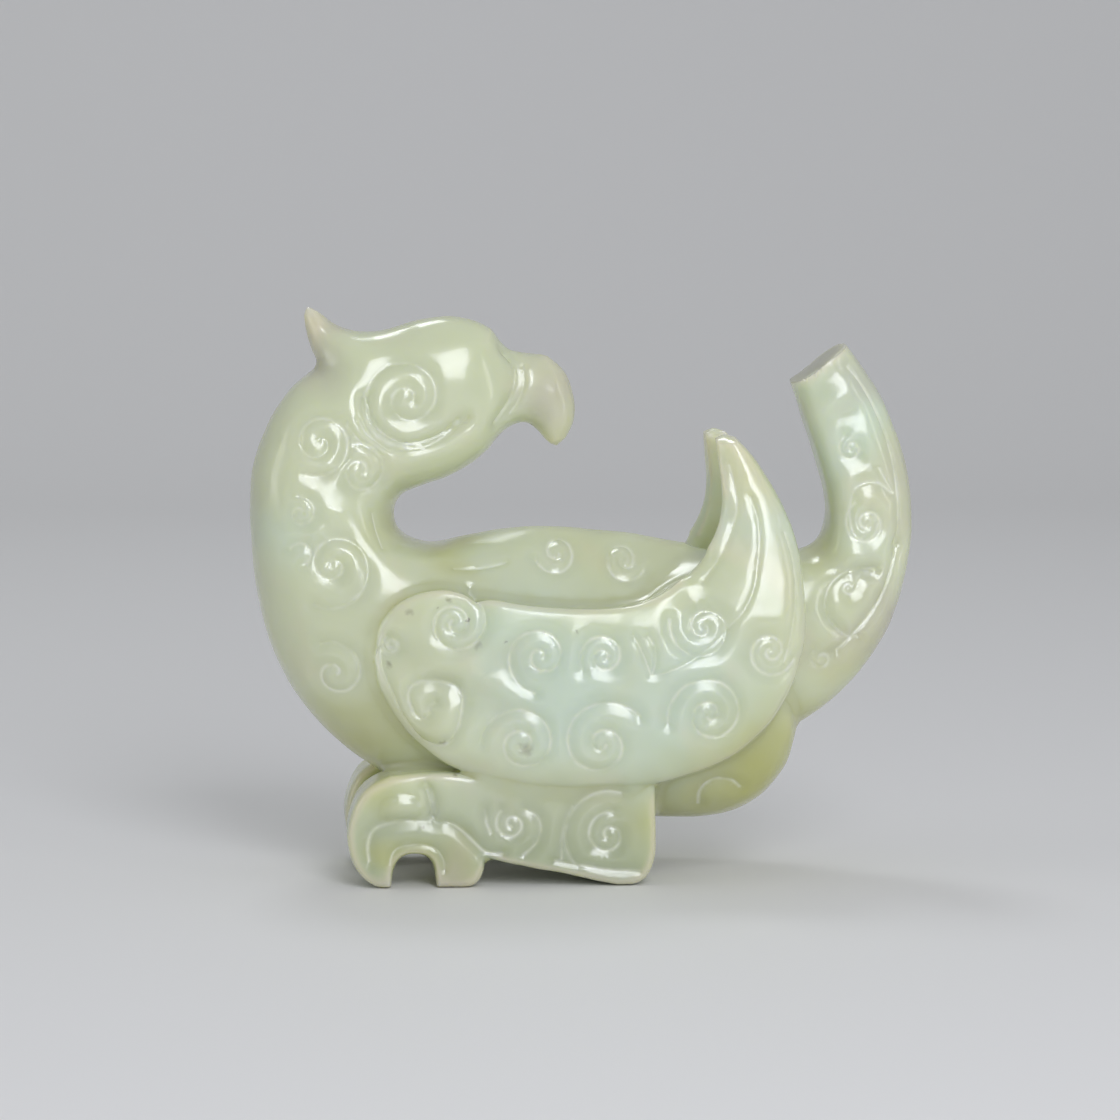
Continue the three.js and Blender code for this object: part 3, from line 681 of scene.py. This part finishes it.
def carving_tree():
    """Lays the lines of an object on the stone, on both sides of the bird, and cuts them in"""
    made, given = geometry_tree("carve_lines", lines="Object", groove_width=0.3,
                                groove_depth=0.2, hollow_width=0.9, hollow_depth=0.2, mark=1.0)
    stone = given["Geometry"]
    drawn = made.add("GeometryNodeObjectInfo", {"Object": given["Lines"]}, out="Geometry")
    join = made.tree.nodes.new("GeometryNodeJoinGeometry")
    for side in (1, -1):
        lines = made.add("GeometryNodeTransform", {"Geometry": drawn, "Scale": (1, side, 1)})
        hit = made.add("GeometryNodeRaycast",
                       {"Target Geometry": stone, "Ray Direction": (0, side, 0),
                        "Ray Length": 2 * SHEET_AWAY}).node.outputs
        laid = made.add("GeometryNodeSetPosition",
                        {"Geometry": lines, "Selection": hit["Is Hit"],
                         "Position": hit["Hit Position"]})
        made.tree.links.new(laid, join.inputs[0])
    near = made.add("GeometryNodeProximity", {"Geometry": join.outputs[0]},
                    target_element="EDGES", out="Distance")

    def dent(width, depth):
        """A bell of that half width and depth round the lines"""
        share = made.maths("DIVIDE", near, width)
        falls = made.maths("MULTIPLY", made.maths("MULTIPLY", share, share), -1.0)
        return made.maths("MULTIPLY", made.maths("EXPONENT", falls), depth)

    cut = made.maths("ADD", dent(given["Groove Width"], given["Groove Depth"]),
                     dent(given["Hollow Width"], given["Hollow Depth"]))
    # Where the lines run, kept for their paint, which is partly a painted glint
    before = made.add("GeometryNodeInputNamedAttribute", {"Name": "line"}, data_type="FLOAT")
    marks = made.maths("MAXIMUM", before, dent(given["Groove Width"], given["Mark"]))
    normal = made.add("GeometryNodeInputNormal")
    return made.end(made.pushed(made.stored(stone, "line", marks), normal,
                                made.maths("MULTIPLY", cut, -1.0)), given["Jade"])


def easing_tree():
    """Fills the creases between limbs, and leaves the soft waves of a face worked by hand"""
    made, given = geometry_tree("ease_joins", wave_size=4.5, wave_depth=0.1)
    position = made.add("GeometryNodeInputPosition")
    normal = made.add("GeometryNodeInputNormal")
    share = made.spread(made.hollowness(position, normal, CREASE_STEPS), *CREASE)
    flat = made.vector("MULTIPLY", position, (1.0, 0.0, 1.0))
    for x, z, radius in SOFT_JOINS:
        spot = made.spread(made.distance(flat, (x, 0.0, z)), radius, radius / 2)
        share = made.maths("MAXIMUM", share, spot)
    eased = made.blurred(position, EASE_STEPS, weight=share)
    smooth = made.add("GeometryNodeSetPosition",
                      {"Geometry": given["Geometry"], "Position": eased})
    scale = made.maths("DIVIDE", 1.0, given["Wave Size"])
    waves = made.add("ShaderNodeTexNoise", {"Vector": position, "Scale": scale, "Detail": 1.0},
                     out="Fac")
    waves = made.maths("MULTIPLY", made.maths("SUBTRACT", waves, 0.5), given["Wave Depth"])
    facing = made.dot(position, (CUT_FACING[0], 0.0, CUT_FACING[1]))
    still = made.add("ShaderNodeMapRange", {"Value": facing, "From Min": CUT_AT - CUT_STILL,
                                            "From Max": CUT_AT, "To Min": 1.0, "To Max": 0.0})
    x = made.add("ShaderNodeSeparateXYZ", position)
    still = made.maths("MAXIMUM", still, made.maths("LESS_THAN", x, CUT_FROM))
    return made.end(made.pushed(smooth, normal, made.maths("MULTIPLY", waves, still)),
                    given["Jade"])


def surface_tree():
    """Measures the stone for its colouring and its painted shade and glow: how thick it is and how
    hollow, at every point
    """
    made, given = geometry_tree("measure_stone", reach=UNDER_SKIN)
    stone = given["Geometry"]
    position = made.add("GeometryNodeInputPosition")
    normal = made.add("GeometryNodeInputNormal")
    inward = made.vector("MULTIPLY", normal, (-1.0, -1.0, -1.0))
    start = made.vector("MULTIPLY_ADD", inward, given["Reach"], position)
    deep = made.add("GeometryNodeRaycast",
                    {"Target Geometry": stone, "Source Position": start,
                     "Ray Direction": inward, "Ray Length": THROUGH}, out="Hit Distance")
    thick = made.blurred(made.maths("MINIMUM", deep, THICK_ENOUGH), THICK_STEPS, "FLOAT")
    hollow = made.maths("MULTIPLY", made.hollowness(position, normal, HOLLOW_STEPS), HOLLOW_GAIN)
    return made.end(made.stored(made.stored(stone, "thickness", thick), "hollow", hollow),
                    given["Jade"])


def spiral(x, z, radius, start, turns, heart, closing):
    """Points along one spiral in the side view, from its outer end to its heart"""
    share = np.linspace(0, 1, SPIRAL_STEPS)
    angle = np.radians(start + share * turns * 360)
    reach = heart + (radius - heart) * (1 - share) ** closing
    return np.stack([x + reach * np.cos(angle), z + reach * np.sin(angle)], 1)


def draw(name, curves, spirals=()):
    """An object that holds drawn lines as edges, as they stand in front of the near side"""
    lines = [spiral(*entry) for entry in spirals]
    lines += [along(line, np.linspace(0, 1, CURVE_STEPS * len(line))) for line in curves]
    points, edges, base = [], [], 0
    for line in lines:
        fine = even(line, LINE_STEP)
        points.append(np.insert(fine, 1, -SHEET_AWAY, 1))
        edges += [(base + k, base + k + 1) for k in range(len(fine) - 1)]
        base += len(fine)
    return mesh_object(name, np.vstack(points), edges=edges)


def add_nodes(stone, name, tree, **values):
    """Puts a node tree on the stone as a modifier, with its inputs set by their names"""
    modifier = stone.modifiers.new(name, "NODES")
    modifier.node_group = tree
    for item in tree.interface.items_tree:
        key = item.name.lower().replace(" ", "_")
        if item.in_out == "INPUT" and key in values:
            modifier[item.identifier] = values[key]


# Small dark flaws on the near side: middle x, z, radius, how dark
FLECKS = [
    (-17.0, 26.4, 0.55, 0.3), (-13.3, 27.6, 0.45, 0.45), (-14.4, 26.8, 0.2, 0.4),
    (-11.6, 25.7, 0.28, 0.95), (-10.6, 23.3, 0.5, 0.25), (-19.0, 21.4, 0.5, 0.4),
    (-13.9, 14.0, 0.4, 0.5), (-4.4, 24.5, 0.3, 0.4), (-1.3, 24.6, 0.25, 0.4),
    (-8.0, 23.7, 0.25, 0.4), (-6.1, 13.4, 0.9, 0.35), (-12.8, 10.9, 0.35, 0.45),
    (-15.8, 5.8, 0.3, 0.4),
]
# Olive clouds in the stone, partly its own colour and partly painted shade on the lower parts,
# such as the rump and the toes: middle x, z, radius, strength
OLIVE_CLOUDS_AND_SHADE = [
    (9.5, 6.5, 8.0, 0.65), (17.0, 10.0, 12.0, 1.0), (-16.5, 34.0, 4.5, 0.5),
    (-12.0, 31.5, 5.0, 0.55), (-21.5, 14.0, 7.5, 0.8), (0.0, 31.5, 7.0, 0.2),
    (8.5, 30.5, 5.0, 0.15), (23.5, 30.5, 4.0, 0.45), (-11.0, 29.0, 4.0, 0.5),
    (-14.0, 2.0, 4.5, 0.7), (26.0, 22.0, 6.0, 0.3), (-18.5, 2.5, 4.0, 0.7),
]
# Cool clouds, in the same way
MINT_CLOUDS = [
    (-4.0, 20.0, 13.0, 1.0), (7.0, 17.0, 12.0, 0.9), (25.0, 44.0, 8.0, 0.8),
    (27.0, 33.0, 6.0, 0.3), (-27.0, 33.0, 8.0, 0.5), (-10.0, 6.0, 8.0, 0.3),
    (15.5, 36.0, 7.0, 0.9),
]
# Greyer clouds, in the same way
ASH_CLOUDS = [
    (-2.6, 46.5, 6.5, 0.7), (-25.5, 53.0, 6.0, 0.8), (29.0, 25.0, 7.0, 0.8),
    (27.0, 48.0, 5.0, 0.5), (-14.0, 2.0, 3.5, 0.6), (30.5, 37.0, 5.0, 0.4),
]
CLOUD_EDGE = 0.0            # a cloud fades all the way from its middle, a flaw only at its rim
FLECK_EDGE = 0.1
CLOUD_MOTTLE = 90.0         # how fine the unevenness of their rims is
MINT_MOTTLE = 70.0
FLECK_MOTTLE = 1500.0
MOTTLE = 1.2                # and how strong
# Noises over the stone: scale, detail, roughness
VEIN_NOISE = (160.0, 5.0, 0.6)
THIN_GLOW_NOISE = (110.0, 3.0, 0.5)
LINE_FROST_AND_GLINT_NOISE = (340.0, 2.0, 0.5)
POLISH_NOISE = (420.0, 4.0, 0.6)
GRAIN_NOISE = (2400.0, 4.0, 0.6)
DIMPLE_NOISE = (300.0, 2.0, 0.5)
# Smooth ramps: from, to, and the strengths they run between
VEIN_RAMP = (0.5, 0.75, 0.0, 0.25)
# Painted glow: thin stone turns cream, as if lit through
THIN_GLOW_RAMP = (4.5, 1.5)      # mm of stone
THIN_GLOW_PATCHES = (0.3, 0.6, 0.4, 0.7)
# Painted shade: hollows and creases are darkened towards olive
HOLLOW_SHADE_RAMP = (0.0, 1.0, 0.0, 0.6)
# Painted glow on rounded edges
EDGE_GLOW_RAMP = (-0.5, -1.8, 0.0, 0.55)
LINE_FROST_AND_GLINT_RAMP = (0.35, 0.62, 0.2, 0.75)
POLISH_RAMP = (0.3, 0.7, 0.16, 0.27)
# Partly painted shade: the stone darkens towards the bottom
MOSS_AND_LOW_SHADE_RAMP = (13.0 * MM, 2.0 * MM)   # the heights between which the foot darkens
CUT_ROUGHER = 0.3           # how much rougher the cut end is
GRAIN_SHARE = 0.05          # of the grain in the finest relief
FINEST_RELIEF = {"Strength": 0.25, "Distance": 0.05 * MM}
SHINE = {"IOR": 1.61, "Coat Weight": 0.4, "Coat Roughness": 0.14}
DEPTH = {"Subsurface Weight": 1.0, "Subsurface Radius": (1.0, 1.0, 0.65),
         "Subsurface Scale": 5.0 * MM}


def jade_material(colours):
    """Celadon stone with clouds, veins and flecks, painted shade in hollows, low down and on the
    cut end, a painted glow on thin parts, and paler cut lines with a painted glint
    """
    material = bpy.data.materials.new("jade")
    material.use_nodes = True
    made = Tree(material.node_tree)
    made.tree.nodes.clear()
    place = made.add("ShaderNodeTexCoord", out="Object")
    x, side, height = made.add("ShaderNodeSeparateXYZ", place).node.outputs

    def noise(scale, detail, roughness):
        return made.add("ShaderNodeTexNoise", {"Vector": place, "Scale": scale, "Detail": detail,
                                               "Roughness": roughness}, out="Fac")

    def measured(name):
        return made.add("ShaderNodeAttribute", attribute_name=name, out="Fac")

    def blend(share, a, b):
        node = made.tree.nodes.new("ShaderNodeMix")
        node.data_type = "RGBA"
        made.fill(node.inputs[0], share)
        for socket, value in ((node.inputs[6], a), (node.inputs[7], b)):
            made.fill(socket, value if isinstance(value, bpy.types.NodeSocket) else (*value, 1))
        return node.outputs[2]

    def spots(table, edge, mottle):
        """The strongest of the table's round spots at each point, their rims uneven"""
        rim = made.add("ShaderNodeTexNoise", {"Vector": place, "Scale": mottle, "Detail": 2.0},
                       out="Color")
        rim = made.vector("SUBTRACT", rim, (0.5, 0.5, 0.5))
        near = made.vector("MULTIPLY_ADD", rim, (MOTTLE / mottle,) * 3, place)
        near = made.vector("MULTIPLY", near, (1.0, 0.0, 1.0))
        most = None
        for middle_x, middle_z, radius, strength in table:
            away = made.distance(near, (middle_x * MM, 0.0, middle_z * MM))
            spot = made.spread(away, radius * MM, radius * MM * edge, 0.0, strength)
            most = spot if most is None else made.maths("MAXIMUM", most, spot)
        return most

    hollow = measured("hollow")
    # A painted glow where the stone is thin
    thin = made.maths("MULTIPLY", made.spread(measured("thickness"), *THIN_GLOW_RAMP),
                      made.spread(noise(*THIN_GLOW_NOISE), *THIN_GLOW_PATCHES))
    flecks = made.maths("MULTIPLY", spots(FLECKS, FLECK_EDGE, FLECK_MOTTLE),
                        made.maths("LESS_THAN", side, 0.0))
    # Paler cut lines, partly a painted glint, broken up along their length
    line = made.maths("MULTIPLY", measured("line"), made.spread(noise(*LINE_FROST_AND_GLINT_NOISE), *LINE_FROST_AND_GLINT_RAMP))
    # The tail's flat end, darkened as painted shade
    facing = made.dot(place, (CUT_FACING[0], 0.0, CUT_FACING[1]))
    cut = made.maths("MULTIPLY", made.spread(facing, CUT_AT * MM, CUT_FULL * MM),
                     made.maths("GREATER_THAN", x, CUT_FROM * MM))
    colour_now = colours.body
    # The layers: mint clouds, veins, painted glow on thin parts, painted shade low down, olive
    # clouds with painted shade, ash clouds, painted shade in hollows, painted glow on rounded
    # edges, flecks, the lines with their painted glint, and the cut end's painted shade
    for share, layer in (
            (spots(MINT_CLOUDS, CLOUD_EDGE, MINT_MOTTLE), colours.cool),
            (made.spread(noise(*VEIN_NOISE), *VEIN_RAMP), colours.cream_veins_and_glow),
            (thin, colours.cream_veins_and_glow),
            (made.spread(height, *MOSS_AND_LOW_SHADE_RAMP), colours.moss_and_low_shade),
            (spots(OLIVE_CLOUDS_AND_SHADE, CLOUD_EDGE, CLOUD_MOTTLE), colours.olive_and_shade),
            (spots(ASH_CLOUDS, CLOUD_EDGE, CLOUD_MOTTLE), colours.ash),
            (made.spread(hollow, *HOLLOW_SHADE_RAMP), colours.olive_and_shade),
            (made.spread(hollow, *EDGE_GLOW_RAMP), colours.cream_veins_and_glow),
            (flecks, colours.flaw), (line, colours.line), (cut, colours.cut)):
        colour_now = blend(share, colour_now, layer)

    rough = made.maths("ADD", made.spread(noise(*POLISH_NOISE), *POLISH_RAMP),
                       made.maths("MULTIPLY", cut, CUT_ROUGHER))
    relief = made.maths("ADD", made.maths("MULTIPLY", noise(*GRAIN_NOISE), GRAIN_SHARE),
                        noise(*DIMPLE_NOISE))
    bump = made.add("ShaderNodeBump", {**FINEST_RELIEF, "Height": relief})
    shader = made.add("ShaderNodeBsdfPrincipled", {"Base Color": colour_now, "Roughness": rough,
                                                   "Normal": bump, **SHINE, **DEPTH})
    output = made.tree.nodes.new("ShaderNodeOutputMaterial")
    made.tree.links.new(shader, output.inputs["Surface"])
    return material


def thin_out(stone, triangles):
    """Leaves fewer triangles where the stone is plain, and keeps the dense stone's shading"""
    dense = stone.data
    count = len(dense.vertices)
    places, normals = np.empty((2, count * 3))
    dense.vertices.foreach_get("co", places)
    dense.vertices.foreach_get("normal", normals)
    tree = KDTree(count)
    for k, place in enumerate(places.reshape(-1, 3)):
        tree.insert(place, k)
    tree.balance()
    faces = sum(len(face.vertices) - 2 for face in dense.polygons)
    fewer = stone.modifiers.new("thin_out", "DECIMATE")
    fewer.ratio = min(1.0, triangles / faces)
    baked(stone)
    mesh = stone.data
    mesh.shade_smooth()
    normals = normals.reshape(-1, 3)
    kept = [normals[tree.find(vertex.co)[1]] for vertex in mesh.vertices]
    mesh.normals_split_custom_set_from_vertices(kept)


def to_metres(stone):
    """Puts the finished stone on the ground, in metres"""
    low = min(vertex.co.z for vertex in stone.data.vertices)
    stone.data.transform(Matrix.Scale(MM, 4) @ Matrix.Translation((0, 0, -low)))


class CARVING_OT_stone(bpy.types.Operator):
    """Carves the bird from one stone, with its scrolls, and gives it its jade finish"""
    bl_idname = "carving.stone"
    bl_label = "Carve the stone"

    def execute(self, context):
        settings = context.scene.stone_settings
        stone = run_together(rough_form(), settings)
        stone.name = "carved_bird"
        jade = jade_material(context.scene.jade_colours)
        stone.data.materials.clear()
        stone.data.materials.append(jade)
        add_nodes(stone, "ease", easing_tree(), jade=jade, wave_size=settings.wave_size / MM,
                  wave_depth=settings.wave_depth / MM)
        baked(stone)
        add_nodes(stone, "measure", surface_tree(), jade=jade)
        sizes = {key: getattr(settings, key) / MM
                 for key in ("groove_width", "groove_depth", "hollow_width", "hollow_depth")}
        bolder = {key: value * (settings.bold if key.endswith("depth") else 1)
                  for key, value in sizes.items()}
        finer = {key: value * settings.light for key, value in sizes.items()}
        dips = {"groove_depth": 0.0, "mark": 0.0, "hollow_width": settings.soft_width / MM,
                "hollow_depth": settings.soft_depth / MM}
        tree = carving_tree()
        drawings = [(draw("soft_dips", SOFT_CURVES), dips),
                    (draw("scroll_lines", CURVES, SPIRALS), sizes),
                    (draw("border_lines", BOLD_CURVES, BOLD_SPIRALS), bolder),
                    (draw("fine_lines", FINE_CURVES), finer)]
        for drawn, values in drawings:
            add_nodes(stone, drawn.name, tree, lines=drawn, jade=jade, **values)
        baked(stone)
        thin_out(stone, settings.triangles)
        to_metres(stone)
        for drawn, _ in drawings:
            bpy.data.objects.remove(drawn)
        if not stone.data.vertices:
            raise RuntimeError("the stone came out empty")
        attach(stone, "root")
        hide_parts("jade_bird")
        return {"FINISHED"}


CAMERA_FROM = (-4.0, 5.5)   # degrees round from straight at the near side, and above level
CAMERA_AWAY = 400.0
AIM = (-2.118, 0.0, 30.258)     # what the camera and the lights face
CAMERA_SEES = 108.3         # width of what it sees at the aim, on a square picture
CAMERA_CLIP = (0.01, 10.0)
SENSOR = 36.0

FLOOR_FRONT = -900.0
FLOOR_BACK = 420.0
FLOOR_HALF = 1100.0
FLOOR_ROUGH = 0.6
SWEEP_RADIUS = 260.0
SWEEP_STEPS = 24
SWEEP_TOP = 900.0
ROOM_COLOUR = (0.93, 0.95, 1.0, 1)

# Soft lights: name, direction to it (azimuth, height in degrees), distance, width, height in
# mm, which setting is its power, colour
LIGHTS = [
    ("key_light", 13, 27, 520, 190, 400, "key", (0.97, 0.985, 1.06)),
    ("left_light", -80, 15, 560, 200, 300, "left", (1.0, 0.99, 0.97)),
    ("right_light", 55, 12, 560, 60, 300, "right", (1.0, 0.99, 0.97)),
    ("back_light", 195, 60, 600, 150, 150, "back", (0.92, 0.96, 1.0)),
]


def floor_sweep(paint):
    """A floor that curves up into a plain backdrop"""
    turn = np.linspace(0, np.pi / 2, SWEEP_STEPS)
    profile = [(FLOOR_FRONT, 0.0)]
    profile += [(FLOOR_BACK + SWEEP_RADIUS * math.sin(a), SWEEP_RADIUS * (1 - math.cos(a)))
                for a in turn]
    profile.append((FLOOR_BACK + SWEEP_RADIUS, SWEEP_TOP))
    points = [(x * MM, y * MM, z * MM) for y, z in profile for x in (-FLOOR_HALF, FLOOR_HALF)]
    faces = [(2 * k, 2 * k + 1, 2 * k + 3, 2 * k + 2) for k in range(len(profile) - 1)]
    floor = mesh_object("studio_floor", points, faces)
    floor.data.shade_smooth()
    material = bpy.data.materials.new("studio_floor")
    material.use_nodes = True
    shader = material.node_tree.nodes["Principled BSDF"]
    shader.inputs["Base Color"].default_value = (*paint, 1)
    shader.inputs["Roughness"].default_value = FLOOR_ROUGH
    floor.data.materials.append(material)
    return floor


def aim(item, azimuth, height, away):
    """Puts a light or the camera that far off in that direction, turned to the bird"""
    a, e = math.radians(azimuth), math.radians(height)
    back = Vector((math.sin(a) * math.cos(e), -math.cos(a) * math.cos(e), math.sin(e)))
    item.location = (Vector(AIM) + back * away) * MM
    item.rotation_euler = (-back).to_track_quat("-Z", "Y").to_euler()


class CARVING_OT_studio(bpy.types.Operator):
    """Sets up the pale floor, the soft lights and the camera"""
    bl_idname = "carving.studio"
    bl_label = "Set up the studio"

    def execute(self, context):
        scene = context.scene
        settings = scene.studio_settings
        floor = floor_sweep(settings.floor)
        scene.world = bpy.data.worlds.new("room")
        scene.world.use_nodes = True
        room = scene.world.node_tree.nodes["Background"]
        room.inputs["Color"].default_value = ROOM_COLOUR
        room.inputs["Strength"].default_value = settings.room
        for name, azimuth, height, away, wide, tall, power, tint in LIGHTS:
            data = bpy.data.lights.new(name, "AREA")
            data.shape = "RECTANGLE"
            data.size = wide * MM
            data.size_y = tall * MM
            data.energy = getattr(settings, power)
            data.color = tint
            aim(new_object(name, data), azimuth, height, away)
        data = bpy.data.cameras.new("camera")
        data.sensor_width = SENSOR
        data.lens = SENSOR * CAMERA_AWAY / CAMERA_SEES
        data.clip_start, data.clip_end = CAMERA_CLIP
        scene.camera = new_object("camera", data)
        aim(scene.camera, *CAMERA_FROM, CAMERA_AWAY)
        scene.view_settings.view_transform = "Standard"
        return {"FINISHED"}


class CARVING_PT_panel(bpy.types.Panel):
    """Sizes, colours and the two steps"""
    bl_idname = "CARVING_PT_panel"
    bl_label = "Jade bird"
    bl_space_type = "VIEW_3D"
    bl_region_type = "UI"
    bl_category = "Jade bird"

    def draw(self, context):
        for group, operator in (("stone_settings", "carving.stone"), ("jade_colours", None),
                                ("studio_settings", "carving.studio")):
            settings = getattr(context.scene, group)
            column = self.layout.column()
            for name in settings.bl_rna.properties.keys():
                if name not in ("rna_type", "name"):
                    column.prop(settings, name)
            if operator:
                column.operator(operator)


GROUPS = {"stone_settings": StoneSettings, "jade_colours": JadeColours,
          "studio_settings": StudioSettings}
CLASSES = (*GROUPS.values(), CARVING_OT_stone, CARVING_OT_studio, CARVING_PT_panel)


def register():
    for item in CLASSES:
        bpy.utils.register_class(item)
    for name, group in GROUPS.items():
        setattr(bpy.types.Scene, name, bpy.props.PointerProperty(type=group))


def unregister():
    for name in GROUPS:
        delattr(bpy.types.Scene, name)
    for item in reversed(CLASSES):
        bpy.utils.unregister_class(item)


def main():
    register()
    bpy.ops.carving.stone()
    bpy.ops.carving.studio()


if __name__ == "__main__":
    main()
